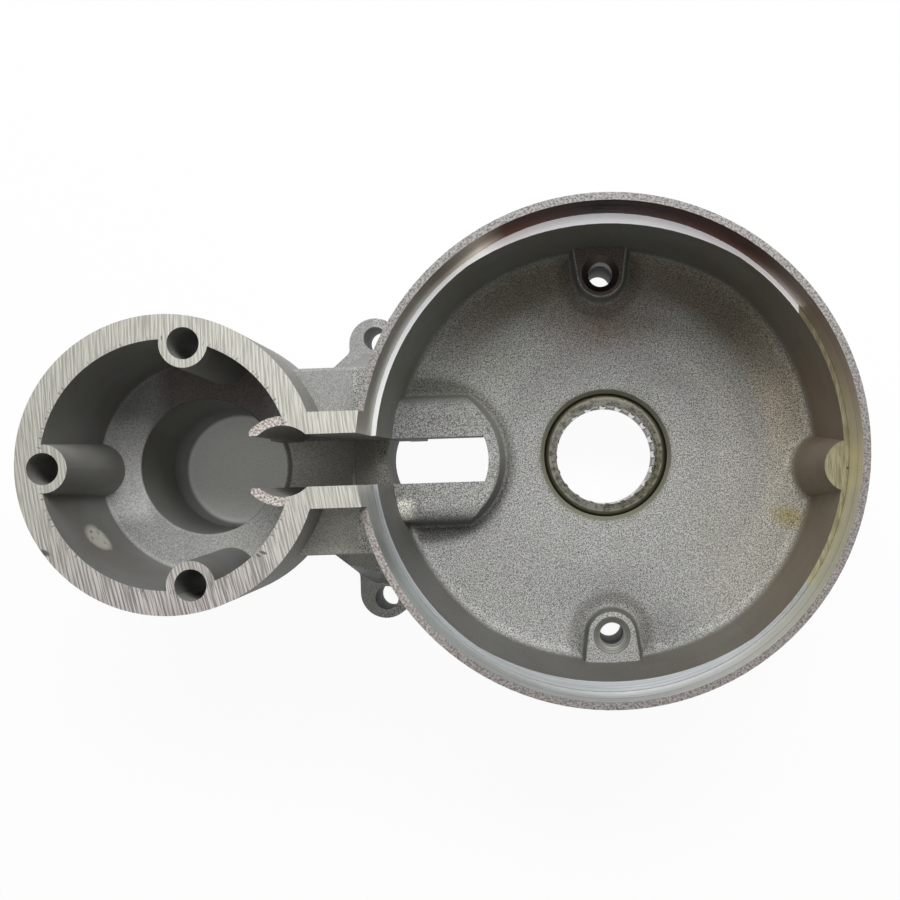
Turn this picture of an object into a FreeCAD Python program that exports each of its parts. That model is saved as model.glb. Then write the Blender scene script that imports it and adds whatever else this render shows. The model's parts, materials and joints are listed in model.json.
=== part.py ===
import FreeCAD, Part
import math
import os

# Drive-end housing of a starter motor: one pressure die casting in aluminium with a
# drawn-cup needle bearing pressed into its hub.  All sizes are in millimetres.
#
# The bearing axis is Z.  The spigot's end face lies on Z = 0 and both cups open upwards.
# The solenoid cup stands on the -X side.

# ---- heights -----------------------------------------------------------------------
SPIGOT_HEIGHT = 4.0            # the spigot stands this far out of the mating face
FLOOR_HEIGHT = 18.3            # inside floor of the motor cup
FLOOR_THICKNESS = 5.0
REGISTER_SHOULDER_HEIGHT = 43.0
MOTOR_RIM_HEIGHT = 55.4
SOLENOID_FACE_HEIGHT = 61.5    # milled face of the solenoid cup and of the two arms
SOLENOID_CUP_DEPTH = 28.9
WELL_DEPTH = 22.3              # plunger well below the solenoid cup's ring floor
BRIDGE_TOP_HEIGHT = 46.5
FLANGE_THICKNESS = 12.5        # flange plate that carries the two ears

# ---- motor cup ---------------------------------------------------------------------
REGISTER_RADIUS = 49.5
RIM_WIDTH = 1.5
SHOULDER_WIDTH = 1.0           # the as-cast wall stands this far inside the register
FLATTER_WALL_RADIUS = 54.0     # the wall runs flatter over and under the through bolts
FLATTER_WALL_INSET = 1.1       # how far that flatter wall stands inside the round one
MOTOR_DRAFT = 2.4              # degrees
FLOOR_FILLET = 3.0
OUTER_DRAFT = 0.4              # degrees
SPIGOT_STEP = 4.5              # the spigot stands this far inside the cup's rim
SPIGOT_WALL = 4.0

# ---- pillar opposite the solenoid cup ----------------------------------------------
PILLAR_ANGLE = -5.0            # degrees from +X
PILLAR_NOSE_RADIUS = 5.4
PILLAR_REACH = 4.0             # from the cup wall to the nose
PILLAR_DRAFT = 4.5             # degrees

# ---- through-bolt bosses -----------------------------------------------------------
THROUGH_BOLT_RADIUS = 40.5     # each bolt axis from the bearing axis, on the Y axis
THROUGH_BOLT_HOLE = 5.5        # clearance for M5
BOLT_BOSS_RADIUS = 5.3
BOLT_BOSS_HEIGHT = 3.8
BOLT_CHAMFER = 1.4
BOSS_DRAFT = 14.0              # degrees
BOSS_FOOT_FILLET = 2.4
BOSS_EDGE_ROUND = 0.6
BOSS_SPLAY = 8.0               # degrees that each side of a boss turns out towards the wall

# ---- bearing -----------------------------------------------------------------------
SHAFT_DIAMETER = 22.0          # inscribed circle of the needles
BEARING_DIAMETER = 28.0
BEARING_LENGTH = 16.0
BEARING_RECESS = 0.5           # below the floor
BORE_CHAMFER = 0.9
HUB_WALL = 4.5
HUB_END_HEIGHT = 1.2
CUP_THICKNESS = 1.0            # drawn steel of the bearing cup
CUP_CORNER_RADIUS = 1.3
LIP_CLEARANCE = 0.2            # between the lips and the shaft, on the radius
NEEDLE_COUNT = 20
NEEDLE_DIAMETER = 2.0
NEEDLE_LENGTH = 11.8
NEEDLE_RUNNING_GAP = 0.02
NEEDLE_END_CHAMFER = 0.25
CAGE_THICKNESS = 0.9
CAGE_END_GAP = 0.25
POCKET_GAP = 0.05

# ---- solenoid cup ------------------------------------------------------------------
AXIS_DISTANCE = 86.0           # solenoid axis from the bearing axis
SOLENOID_RIM_RADIUS = 29.0
SOLENOID_BORE_RADIUS = 24.2
SOLENOID_INNER_DRAFT = 2.0     # degrees
SOLENOID_OUTER_DRAFT = 1.0     # degrees
SOLENOID_FLOOR_THICKNESS = 4.0
SOLENOID_FLOOR_FILLET = 1.0
SCREW_CIRCLE_RADIUS = 23.6
SCREW_ANGLES = (80.0, 180.0, -80.0)
SCREW_HOLE = 6.2               # clearance for M6
SCREW_BOSS_RADIUS = 4.7
SCREW_BOSS_SPLAY = 12.0        # degrees that each side turns out towards the cup's wall
WELL_RADIUS = 14.5
WELL_DRAFT = 2.0               # degrees
WELL_BOTTOM_FILLET = 2.2
WELL_MOUTH_ROUND = 0.5
WELL_WALL = 3.5
WELL_BOTTOM_THICKNESS = 3.5

# ---- lever slot --------------------------------------------------------------------
SLOT_WIDTH = 10.1
ARM_THICKNESS = 4.25
SLOT_FLOOR_HEIGHT = 19.5
SLOT_EYE_X = -63.6             # centre of the round widening at the slot's mouth
SLOT_EYE_RADIUS = 6.9
LIP_WALL = 1.8                 # the widening's wall where it stands inside the cup
LIP_DROP = 0.7                 # the lips end this far below the milled face
LIP_TIP_X = -69.9
WINDOW_OVERLAP = 1.0           # the window runs this far into the motor cup's wall
WINDOW_LENGTH = 23.3
WINDOW_END_RADIUS = 13.5
SLOT_STEP_X = -56.6            # the two halves of the die meet here in the slot's floor
SLOT_STEP = 0.5
PAD_HEIGHT = 6.0
PAD_END_WIDTH = 2.5            # flat strip between the window and the pad's end
PAD_END_RADIUS = 16.0          # the end's curve, seen from above
PAD_END_ROUND = 0.8
PAD_HALF_WIDTH = 13.6
PAD_SIDE_ROUND = 4.5
PAD_DRAFT = 10.0               # degrees
PAD_FOOT_FILLET = 1.8

# ---- bridge and ears ---------------------------------------------------------------
BRIDGE_WIDTH = 38.2
BRIDGE_DRAFT = 1.5             # degrees
BRIDGE_WALL = 3.2
BRIDGE_EDGE_ROUND = 0.7
BRIDGE_FOOT_X = -61.0          # the underside's slope starts here, at the mating face
BRIDGE_HEEL_X = -72.0          # and ends here, under the solenoid cup
EAR_PLACES = ((-51.7, 28.3), (-50.9, -30.9))
EAR_HOLE = 5.3                 # clearance for M5
EAR_RADIUS = 5.9
EAR_SHIFT = 1.3                # the ear's outline lies this much nearer the X axis
EAR_NECK_Y = 25.2              # where the flange starts to narrow towards the well
WAIST_X = -67.0                # where that narrowing ends
GUSSET_HEIGHT = 7.0
GUSSET_SLOPE_WIDTH = 3.0
GUSSET_HOLE_GAP = 0.4
GUSSET_FALL = 2.4              # how much nearer the X axis the web is at its far end

# ---- front side --------------------------------------------------------------------
FRONT_BOSS_RADIUS = 6.8
RIB_THICKNESS = 3.0
RIB_ANGLES = (30.0, 90.0, 150.0, 210.0, 270.0, 330.0)
RIB_SETBACK = 3.0              # ribs end this far above the spigot's end face


def tan(degrees):
    return math.tan(math.radians(degrees))


def vec(x, y, z=0.0):
    return FreeCAD.Vector(x, y, z)


def cylinder(radius, bottom, top, x=0.0, y=0.0):
    return Part.makeCylinder(radius, top - bottom, vec(x, y, bottom))


def cone(bottom_radius, top_radius, bottom, top, x=0.0, y=0.0):
    return Part.makeCone(bottom_radius, top_radius, top - bottom, vec(x, y, bottom))


def block(x_low, x_high, y_low, y_high, bottom, top):
    corner = vec(x_low, y_low, bottom)
    return Part.makeBox(x_high - x_low, y_high - y_low, top - bottom, corner)


def rounded_wire(corners):
    """A closed wire through (point, corner radius) pairs, with a tangent arc at each radius."""
    edges = []
    starts = []
    ends = []
    arcs = []
    count = len(corners)
    for index, (point, radius) in enumerate(corners):
        before = corners[index - 1][0]
        after = corners[(index + 1) % count][0]
        if radius <= 0:
            starts.append(point)
            ends.append(point)
            arcs.append(None)
            continue
        to_before = (before - point).normalize()
        to_after = (after - point).normalize()
        half_angle = to_before.getAngle(to_after) / 2
        reach = radius / math.tan(half_angle)
        start = point + to_before * reach
        end = point + to_after * reach
        bisector = (to_before + to_after).normalize()
        centre = point + bisector * (radius / math.sin(half_angle))
        middle = centre - bisector * radius
        starts.append(start)
        ends.append(end)
        arcs.append(Part.Arc(start, middle, end).toShape())
    for index in range(count):
        if arcs[index] is not None:
            edges.append(arcs[index])
        following = starts[(index + 1) % count]
        if ends[index].distanceToPoint(following) > 1e-6:
            edges.append(Part.LineSegment(ends[index], following).toShape())
    return Part.Wire(edges)


def turned(section, x=0.0, y=0.0):
    """A solid of revolution about the vertical line at (x, y) from (radius, height, round) corners."""
    corners = [(vec(radius, 0, height), rounding) for radius, height, rounding in section]
    face = Part.Face(rounded_wire(corners))
    solid = face.revolve(vec(0, 0, 0), vec(0, 0, 1), 360)
    solid.translate(vec(x, y))
    return solid


def bowl(top_radius, floor, top, draft, fillet, x=0.0, y=0.0):
    """The space inside a drafted round cup, with a fillet at its floor."""
    floor_radius = top_radius - (top - floor) * tan(draft)
    section = [
        (0, floor, 0),
        (floor_radius, floor, fillet),
        (top_radius, top, 0),
        (0, top, 0),
    ]
    return turned(section, x, y)


def prism(outline, bottom, top):
    """A solid between two heights from (x, y, corner radius) corners."""
    corners = [(vec(x, y, bottom), rounding) for x, y, rounding in outline]
    face = Part.Face(rounded_wire(corners))
    return face.extrude(vec(0, 0, top - bottom))


def fused(shapes):
    whole = shapes[0].multiFuse(shapes[1:])
    return whole.removeSplitter()


def flared_boss(radius, floor, top, x, y, toward, length):
    """A low boss with sloping sides and a soft foot that widens along one direction."""
    slope = (top - floor) * tan(BOSS_DRAFT)
    skirt = radius + slope + 3 * BOSS_FOOT_FILLET
    buried = floor - 1.0
    side = [
        (radius, top, BOSS_EDGE_ROUND),
        (radius + slope, floor, BOSS_FOOT_FILLET),
        (skirt, floor, 0),
        (skirt, buried, 0),
    ]
    boss = turned([(0, buried, 0), (0, top, 0)] + side, x, y)
    right = [(vec(0, across, height), rounding) for across, height, rounding in side]
    left = [(vec(0, -across, height), rounding) for across, height, rounding in reversed(side)]
    for turn in (-BOSS_SPLAY, BOSS_SPLAY):
        tail = Part.Face(rounded_wire(right + left)).extrude(vec(length, 0, 0))
        tail.rotate(vec(0, 0), vec(0, 0, 1), toward + turn)
        tail.translate(vec(x, y))
        boss = boss.fuse(tail)
    return boss


# ---- derived places ----------------------------------------------------------------
SOLENOID_X = -AXIS_DISTANCE
RING_FLOOR_HEIGHT = SOLENOID_FACE_HEIGHT - SOLENOID_CUP_DEPTH
WELL_FLOOR_HEIGHT = RING_FLOOR_HEIGHT - WELL_DEPTH
WELL_BASE_HEIGHT = WELL_FLOOR_HEIGHT - WELL_BOTTOM_THICKNESS
WELL_OUTER_RADIUS = WELL_RADIUS + WELL_WALL
SOLENOID_BASE_HEIGHT = RING_FLOOR_HEIGHT - SOLENOID_FLOOR_THICKNESS
MATING_HEIGHT = SPIGOT_HEIGHT
FLANGE_TOP_HEIGHT = MATING_HEIGHT + FLANGE_THICKNESS
WEB_HEIGHT = FLOOR_HEIGHT - FLOOR_THICKNESS
MOTOR_RIM_RADIUS = REGISTER_RADIUS + RIM_WIDTH
MOTOR_WALL_RADIUS = REGISTER_RADIUS - SHOULDER_WIDTH
SPIGOT_RADIUS = MOTOR_RIM_RADIUS - SPIGOT_STEP
WINDOW_LEFT = -(MOTOR_WALL_RADIUS + WINDOW_OVERLAP)
WINDOW_RIGHT = WINDOW_LEFT + WINDOW_LENGTH
PAD_TOP_HEIGHT = FLOOR_HEIGHT + PAD_HEIGHT
MOTOR_BASE_RADIUS = MOTOR_RIM_RADIUS + (MOTOR_RIM_HEIGHT - MATING_HEIGHT) * tan(OUTER_DRAFT)
SPIGOT_BORE_RADIUS = SPIGOT_RADIUS - SPIGOT_WALL
HALF_SLOT = SLOT_WIDTH / 2
ARM_OUTER_Y = HALF_SLOT + ARM_THICKNESS
HALF_BRIDGE = BRIDGE_WIDTH / 2
BEARING_RADIUS = BEARING_DIAMETER / 2
BEARING_TOP = FLOOR_HEIGHT - BEARING_RECESS
BEARING_BOTTOM = BEARING_TOP - BEARING_LENGTH
HUB_RADIUS = BEARING_RADIUS + HUB_WALL
RACEWAY_RADIUS = BEARING_RADIUS - CUP_THICKNESS
NEEDLE_RADIUS = NEEDLE_DIAMETER / 2 - NEEDLE_RUNNING_GAP
NEEDLE_CIRCLE_RADIUS = RACEWAY_RADIUS - NEEDLE_DIAMETER / 2
BEARING_MIDDLE = (BEARING_TOP + BEARING_BOTTOM) / 2


def motor_cup_outside():
    """The cup's outer wall, its spigot and everything inside them, still solid."""
    return turned([
        (0, 0, 0),
        (SPIGOT_RADIUS, 0, BOSS_EDGE_ROUND),
        (SPIGOT_RADIUS, MATING_HEIGHT, 0),
        (MOTOR_BASE_RADIUS, MATING_HEIGHT, BOSS_EDGE_ROUND),
        (MOTOR_RIM_RADIUS, MOTOR_RIM_HEIGHT, 0),
        (0, MOTOR_RIM_HEIGHT, 0),
    ])


def pillar():
    """The half-round pillar on the cup wall, milled off level with the register shoulder."""
    distance = MOTOR_WALL_RADIUS - PILLAR_REACH + PILLAR_NOSE_RADIUS
    x = distance * math.cos(math.radians(PILLAR_ANGLE))
    y = distance * math.sin(math.radians(PILLAR_ANGLE))
    height = REGISTER_SHOULDER_HEIGHT - FLOOR_HEIGHT
    foot = PILLAR_NOSE_RADIUS + height * tan(PILLAR_DRAFT)
    skirt = foot + 2 * FLOOR_FILLET
    buried = FLOOR_HEIGHT - 1.0
    post = turned([
        (0, buried, 0),
        (0, REGISTER_SHOULDER_HEIGHT, 0),
        (PILLAR_NOSE_RADIUS, REGISTER_SHOULDER_HEIGHT, 0),
        (foot, FLOOR_HEIGHT, FLOOR_FILLET),
        (skirt, FLOOR_HEIGHT, 0),
        (skirt, buried, 0),
    ], x, y)
    limit = cylinder(MOTOR_RIM_RADIUS - RIM_WIDTH / 2, buried, REGISTER_SHOULDER_HEIGHT)
    return post.common(limit)


def window_pad():
    """The raised pad round the lever window: softly rounded sides and a steeper, curved end."""
    buried = FLOOR_HEIGHT - 1.0
    slope = PAD_HEIGHT * tan(PAD_DRAFT)
    skirt = 2 * PAD_FOOT_FILLET
    side = [
        (PAD_HALF_WIDTH, PAD_TOP_HEIGHT, PAD_SIDE_ROUND),
        (PAD_HALF_WIDTH + slope, FLOOR_HEIGHT, PAD_FOOT_FILLET),
        (PAD_HALF_WIDTH + slope + skirt, FLOOR_HEIGHT, 0),
        (PAD_HALF_WIDTH + slope + skirt, buried, 0),
    ]
    right = [(vec(0, across, height), rounding) for across, height, rounding in side]
    left = [(vec(0, -across, height), rounding) for across, height, rounding in reversed(side)]
    mound = Part.Face(rounded_wire(right + left)).extrude(vec(MOTOR_RIM_RADIUS, 0, 0))
    mound.translate(vec(-MOTOR_RIM_RADIUS, 0))

    end_x = WINDOW_RIGHT + PAD_END_WIDTH
    centre_x = end_x - PAD_END_RADIUS
    end = turned([
        (0, buried, 0),
        (0, PAD_TOP_HEIGHT, 0),
        (PAD_END_RADIUS, PAD_TOP_HEIGHT, PAD_END_ROUND),
        (PAD_END_RADIUS + slope, FLOOR_HEIGHT, PAD_FOOT_FILLET),
        (PAD_END_RADIUS + slope + skirt, FLOOR_HEIGHT, 0),
        (PAD_END_RADIUS + slope + skirt, buried, 0),
    ], centre_x)
    behind = block(-MOTOR_RIM_RADIUS, centre_x, -MOTOR_RIM_RADIUS, MOTOR_RIM_RADIUS, buried, PAD_TOP_HEIGHT)
    return mound.common(end.fuse(behind))


def motor_cup_space():
    """The space inside the motor cup below the shoulder, with its pillar and bosses left out."""
    top = REGISTER_SHOULDER_HEIGHT
    space = bowl(MOTOR_WALL_RADIUS, FLOOR_HEIGHT, top, MOTOR_DRAFT, FLOOR_FILLET)
    offset = FLATTER_WALL_RADIUS - (MOTOR_WALL_RADIUS - FLATTER_WALL_INSET)
    for side in (-1, 1):
        flatter = bowl(FLATTER_WALL_RADIUS, FLOOR_HEIGHT, top, MOTOR_DRAFT, FLOOR_FILLET, 0, side * offset)
        space = space.common(flatter)
    space = space.cut(pillar())
    for side in (-1, 1):
        boss = flared_boss(BOLT_BOSS_RADIUS, FLOOR_HEIGHT, FLOOR_HEIGHT + BOLT_BOSS_HEIGHT,
                           0, side * THROUGH_BOLT_RADIUS, side * 90, MOTOR_RIM_RADIUS)
        space = space.cut(boss)
    return space.cut(window_pad())


def register():
    """The turned register that takes the motor's yoke, with the cut that it leaves in the arms."""
    return cylinder(REGISTER_RADIUS, REGISTER_SHOULDER_HEIGHT, SOLENOID_FACE_HEIGHT + 1.0)


def front_recess():
    """The recess round the hub on the front side, with its ribs and bosses left standing."""
    recess = turned([
        (HUB_RADIUS, -1.0, 0),
        (HUB_RADIUS, WEB_HEIGHT, BOSS_FOOT_FILLET),
        (SPIGOT_BORE_RADIUS, WEB_HEIGHT, BOSS_FOOT_FILLET),
        (SPIGOT_BORE_RADIUS, -1.0, 0),
    ])
    for side in (-1, 1):
        recess = recess.cut(cylinder(FRONT_BOSS_RADIUS, 0, WEB_HEIGHT + 1.0,
                                     0, side * THROUGH_BOLT_RADIUS))
    for angle in RIB_ANGLES:
        rib = block(0, SPIGOT_RADIUS, -RIB_THICKNESS / 2, RIB_THICKNESS / 2, RIB_SETBACK, WEB_HEIGHT + 1.0)
        rib.rotate(vec(0, 0), vec(0, 0, 1), angle)
        recess = recess.cut(rib)
    hub_end = cylinder(HUB_RADIUS + 0.01, -1.0, HUB_END_HEIGHT)
    return recess.fuse(hub_end)


def bearing_bore():
    bottom = -1.0
    return turned([
        (0, bottom, 0),
        (BEARING_RADIUS, bottom, 0),
        (BEARING_RADIUS, FLOOR_HEIGHT - BORE_CHAMFER, 0),
        (BEARING_RADIUS + BORE_CHAMFER, FLOOR_HEIGHT, 0),
        (BEARING_RADIUS + BORE_CHAMFER, FLOOR_HEIGHT + 1.0, 0),
        (0, FLOOR_HEIGHT + 1.0, 0),
    ])


def through_bolt_hole(side):
    """A clearance hole down one boss, countersunk where the bolt comes in."""
    top = FLOOR_HEIGHT + BOLT_BOSS_HEIGHT
    hole = THROUGH_BOLT_HOLE / 2
    return turned([
        (0, -1.0, 0),
        (hole, -1.0, 0),
        (hole, top - BOLT_CHAMFER, 0),
        (hole + BOLT_CHAMFER, top, 0),
        (hole + BOLT_CHAMFER, REGISTER_SHOULDER_HEIGHT, 0),
        (0, REGISTER_SHOULDER_HEIGHT, 0),
    ], 0, side * THROUGH_BOLT_RADIUS)


def solenoid_outside():
    """The solenoid cup's outer wall over the plunger well's tube."""
    base = SOLENOID_BASE_HEIGHT
    base_radius = SOLENOID_RIM_RADIUS - (SOLENOID_FACE_HEIGHT - base) * tan(SOLENOID_OUTER_DRAFT)
    return turned([
        (0, WELL_BASE_HEIGHT, 0),
        (WELL_OUTER_RADIUS - 1.0, WELL_BASE_HEIGHT, WELL_BOTTOM_FILLET),
        (WELL_OUTER_RADIUS, base, BOSS_FOOT_FILLET),
        (base_radius, base, WELL_BOTTOM_FILLET),
        (SOLENOID_RIM_RADIUS, SOLENOID_FACE_HEIGHT, 0),
        (0, SOLENOID_FACE_HEIGHT, 0),
    ], SOLENOID_X)


def solenoid_space():
    """The cup's inside with its three screw pillars, and the plunger well below it."""
    top = SOLENOID_FACE_HEIGHT + 1.0
    space = bowl(SOLENOID_BORE_RADIUS, RING_FLOOR_HEIGHT, top, SOLENOID_INNER_DRAFT,
                 SOLENOID_FLOOR_FILLET, SOLENOID_X)
    spread = SOLENOID_CUP_DEPTH * tan(SOLENOID_INNER_DRAFT)
    for angle, (x, y) in zip(SCREW_ANGLES, screw_places()):
        space = space.cut(cone(SCREW_BOSS_RADIUS + spread, SCREW_BOSS_RADIUS, RING_FLOOR_HEIGHT,
                               SOLENOID_FACE_HEIGHT, x, y))
        space = space.cut(cylinder(SCREW_BOSS_RADIUS, SOLENOID_FACE_HEIGHT, top, x, y))
        wide = SCREW_BOSS_RADIUS * (1 + tan(SCREW_BOSS_SPLAY))
        root = prism([
            (0, -SCREW_BOSS_RADIUS, 0),
            (SCREW_BOSS_RADIUS, -wide, 0),
            (SCREW_BOSS_RADIUS, wide, 0),
            (0, SCREW_BOSS_RADIUS, 0),
        ], RING_FLOOR_HEIGHT, top)
        root.rotate(vec(0, 0), vec(0, 0, 1), angle)
        root.translate(vec(x, y))
        space = space.cut(root)
    well_radius = WELL_RADIUS - WELL_DEPTH * tan(WELL_DRAFT)
    well = turned([
        (0, WELL_FLOOR_HEIGHT, 0),
        (well_radius, WELL_FLOOR_HEIGHT, WELL_BOTTOM_FILLET),
        (WELL_RADIUS, RING_FLOOR_HEIGHT, WELL_MOUTH_ROUND),
        (WELL_RADIUS + 2 * WELL_MOUTH_ROUND, RING_FLOOR_HEIGHT, 0),
        (WELL_RADIUS + 2 * WELL_MOUTH_ROUND, RING_FLOOR_HEIGHT + 1.0, 0),
        (0, RING_FLOOR_HEIGHT + 1.0, 0),
    ], SOLENOID_X)
    return space.fuse(well)


def screw_places():
    places = []
    for angle in SCREW_ANGLES:
        x = SOLENOID_X + SCREW_CIRCLE_RADIUS * math.cos(math.radians(angle))
        y = SCREW_CIRCLE_RADIUS * math.sin(math.radians(angle))
        places.append((x, y))
    return places


def slot_lips():
    """The widening's own wall, which stands inside the solenoid cup on both sides of the slot."""
    top = SOLENOID_FACE_HEIGHT - LIP_DROP
    wall = cylinder(SLOT_EYE_RADIUS + LIP_WALL, SLOT_FLOOR_HEIGHT - 1.0, top, SLOT_EYE_X)
    return wall.cut(block(SLOT_EYE_X - 2 * SLOT_EYE_RADIUS, LIP_TIP_X, -2 * SLOT_EYE_RADIUS,
                          2 * SLOT_EYE_RADIUS, 0, top))


def lever_slot():
    """The slot with its round widening, from the plunger well to the lever window."""
    top = SOLENOID_FACE_HEIGHT + 1.0
    eye = cylinder(SLOT_EYE_RADIUS, SLOT_FLOOR_HEIGHT, top, SLOT_EYE_X)
    run = block(SOLENOID_X, WINDOW_LEFT + WINDOW_END_RADIUS / 2, -HALF_SLOT, HALF_SLOT,
                SLOT_FLOOR_HEIGHT, top)
    step = block(SLOT_STEP_X, WINDOW_LEFT + WINDOW_END_RADIUS / 2, -HALF_SLOT, HALF_SLOT,
                 SLOT_FLOOR_HEIGHT - SLOT_STEP, top)
    return eye.fuse(run).fuse(step)


def lever_window():
    """The way through the floor for the shift lever, with slightly bowed ends."""
    middle = (WINDOW_LEFT + WINDOW_RIGHT) / 2
    sides = block(WINDOW_LEFT - 1.0, WINDOW_RIGHT + 1.0, -HALF_SLOT, HALF_SLOT, -1.0, MOTOR_RIM_HEIGHT)
    left_end = cylinder(WINDOW_END_RADIUS, -1.0, MOTOR_RIM_HEIGHT, WINDOW_LEFT + WINDOW_END_RADIUS)
    right_end = cylinder(WINDOW_END_RADIUS, -1.0, MOTOR_RIM_HEIGHT, WINDOW_RIGHT - WINDOW_END_RADIUS)
    left_half = sides.common(left_end).common(block(WINDOW_LEFT, middle, -HALF_SLOT, HALF_SLOT,
                                                    -1.0, MOTOR_RIM_HEIGHT))
    right_half = sides.common(right_end).common(block(middle, WINDOW_RIGHT, -HALF_SLOT, HALF_SLOT,
                                                      -1.0, MOTOR_RIM_HEIGHT))
    return left_half.fuse(right_half)


def bridge():
    """The bridge between the cups; its underside slopes up from the flange to the solenoid cup."""
    height = BRIDGE_TOP_HEIGHT - MATING_HEIGHT
    spread = height * tan(BRIDGE_DRAFT)
    section = [
        (vec(SOLENOID_X, -HALF_BRIDGE - spread, MATING_HEIGHT), 0),
        (vec(SOLENOID_X, HALF_BRIDGE + spread, MATING_HEIGHT), 0),
        (vec(SOLENOID_X, HALF_BRIDGE, BRIDGE_TOP_HEIGHT), BRIDGE_EDGE_ROUND),
        (vec(SOLENOID_X, -HALF_BRIDGE, BRIDGE_TOP_HEIGHT), BRIDGE_EDGE_ROUND),
    ]
    whole = Part.Face(rounded_wire(section)).extrude(vec(-SOLENOID_X, 0, 0))
    reach = BRIDGE_WIDTH
    below = [
        (vec(BRIDGE_FOOT_X, -reach, -1.0), 0),
        (vec(BRIDGE_FOOT_X, -reach, MATING_HEIGHT), 0),
        (vec(BRIDGE_HEEL_X, -reach, SOLENOID_BASE_HEIGHT), 0),
        (vec(2 * SOLENOID_X, -reach, SOLENOID_BASE_HEIGHT), 0),
        (vec(2 * SOLENOID_X, -reach, -1.0), 0),
    ]
    return whole.cut(Part.Face(rounded_wire(below)).extrude(vec(0, 2 * reach, 0)))


def bridge_pockets():
    """Two pockets that the front half of the die leaves on either side of the slot."""
    top = BRIDGE_TOP_HEIGHT - BRIDGE_WALL
    inner = ARM_OUTER_Y
    outer = HALF_BRIDGE - BRIDGE_WALL
    right = -(MOTOR_RIM_RADIUS - RIM_WIDTH)
    pockets = []
    for side in (-1, 1):
        box = block(SOLENOID_X, right, min(side * inner, side * outer), max(side * inner, side * outer),
                    -1.0, top)
        pockets.append(box)
    pocket = pockets[0].fuse(pockets[1])
    cup_wall = cylinder(SOLENOID_RIM_RADIUS, -1.0, SOLENOID_FACE_HEIGHT, SOLENOID_X)
    motor_wall = cylinder(MOTOR_BASE_RADIUS, -1.0, MOTOR_RIM_HEIGHT)
    return pocket.cut(cup_wall).cut(motor_wall)


def flange_plate():
    """The flange behind the motor cup: two ears and a waist that runs out to the well's tube."""
    half_waist = WELL_OUTER_RADIUS - 1.0
    plate = block(SOLENOID_X, -MOTOR_WALL_RADIUS / 2, -half_waist, half_waist,
                  WELL_BASE_HEIGHT, FLANGE_TOP_HEIGHT)
    for x, y in EAR_PLACES:
        side = math.copysign(1, y)
        ear_y = y - side * EAR_SHIFT
        left = x - EAR_RADIUS
        half = prism([
            (-MOTOR_WALL_RADIUS / 2, 0, 0),
            (-MOTOR_WALL_RADIUS / 2, ear_y, 0),
            (left, ear_y, 0),
            (left, side * EAR_NECK_Y, 1.5),
            (WAIST_X, side * half_waist, 3.0),
            (WAIST_X, 0, 0),
        ], MATING_HEIGHT, FLANGE_TOP_HEIGHT)
        plate = plate.fuse(half).fuse(cylinder(EAR_RADIUS, MATING_HEIGHT, FLANGE_TOP_HEIGHT, x, ear_y))
    return plate


def gusset(x, y):
    """A sloped web from one ear up to the bridge and the cup wall, clear of the ear's hole."""
    side = math.copysign(1, y)
    levels = []
    for height, inward in ((FLANGE_TOP_HEIGHT - 1.0, 0), (FLANGE_TOP_HEIGHT + GUSSET_HEIGHT, GUSSET_SLOPE_WIDTH)):
        near = abs(y) - EAR_HOLE / 2 - GUSSET_HOLE_GAP - inward
        left = x - EAR_RADIUS - inward / 2
        right = -MOTOR_RIM_RADIUS * 0.7
        corners = [
            vec(left, 0, height),
            vec(left, side * (near - GUSSET_FALL), height),
            vec(x - EAR_HOLE / 2 + inward, side * near, height),
            vec(right, side * near, height),
            vec(right, 0, height),
        ]
        levels.append(Part.makePolygon(corners + corners[:1]))
    return Part.makeLoft(levels, True, True)


def ear_holes():
    return [cylinder(EAR_HOLE / 2, -1.0, MOTOR_RIM_HEIGHT, x, y) for x, y in EAR_PLACES]


def arms():
    """The two arms beside the slot, milled level with the solenoid cup's face."""
    upper = block(SOLENOID_X, -REGISTER_RADIUS * 0.9, -ARM_OUTER_Y, ARM_OUTER_Y,
                  WELL_BASE_HEIGHT, SOLENOID_FACE_HEIGHT)
    foot = block(BRIDGE_FOOT_X, -REGISTER_RADIUS * 0.9, -ARM_OUTER_Y, ARM_OUTER_Y,
                 MATING_HEIGHT, SOLENOID_FACE_HEIGHT)
    return upper.fuse(foot)


def well_wedge():
    """The underside between the well's tube and the flange, below the slot's floor."""
    return block(SOLENOID_X, BRIDGE_FOOT_X, -ARM_OUTER_Y, ARM_OUTER_Y, WELL_BASE_HEIGHT, RING_FLOOR_HEIGHT)


def make_housing():
    # Everything between the two cups stays clear of their insides.
    webs = [gusset(x, y) for x, y in EAR_PLACES]
    link = fused([bridge(), arms(), flange_plate(), well_wedge()] + webs)
    link = link.cut(bridge_pockets())
    motor_inside = cylinder(MOTOR_WALL_RADIUS, MATING_HEIGHT - 0.01, SOLENOID_FACE_HEIGHT + 1.0)
    link = link.cut(motor_inside)

    solenoid_limit = cone(SOLENOID_BORE_RADIUS - SOLENOID_CUP_DEPTH * tan(SOLENOID_INNER_DRAFT),
                          SOLENOID_BORE_RADIUS, RING_FLOOR_HEIGHT, SOLENOID_FACE_HEIGHT, SOLENOID_X)
    link = link.cut(solenoid_limit)
    under_cup = block(2 * SOLENOID_X, SOLENOID_X, -2 * HALF_BRIDGE, 2 * HALF_BRIDGE, 0, SOLENOID_FACE_HEIGHT)
    link = link.cut(under_cup)

    body = fused([motor_cup_outside(), solenoid_outside(), link])
    body = body.cut(motor_cup_space())
    body = body.cut(solenoid_space())
    body = fused([body, slot_lips()])
    tools = [register(), front_recess(), bearing_bore(), lever_slot(), lever_window()]
    tools += [through_bolt_hole(side) for side in (-1, 1)]
    tools += ear_holes()
    for x, y in screw_places():
        tools.append(cylinder(SCREW_HOLE / 2, -1.0, SOLENOID_FACE_HEIGHT + 1.0, x, y))
    return body.cut(tools).removeSplitter()


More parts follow.
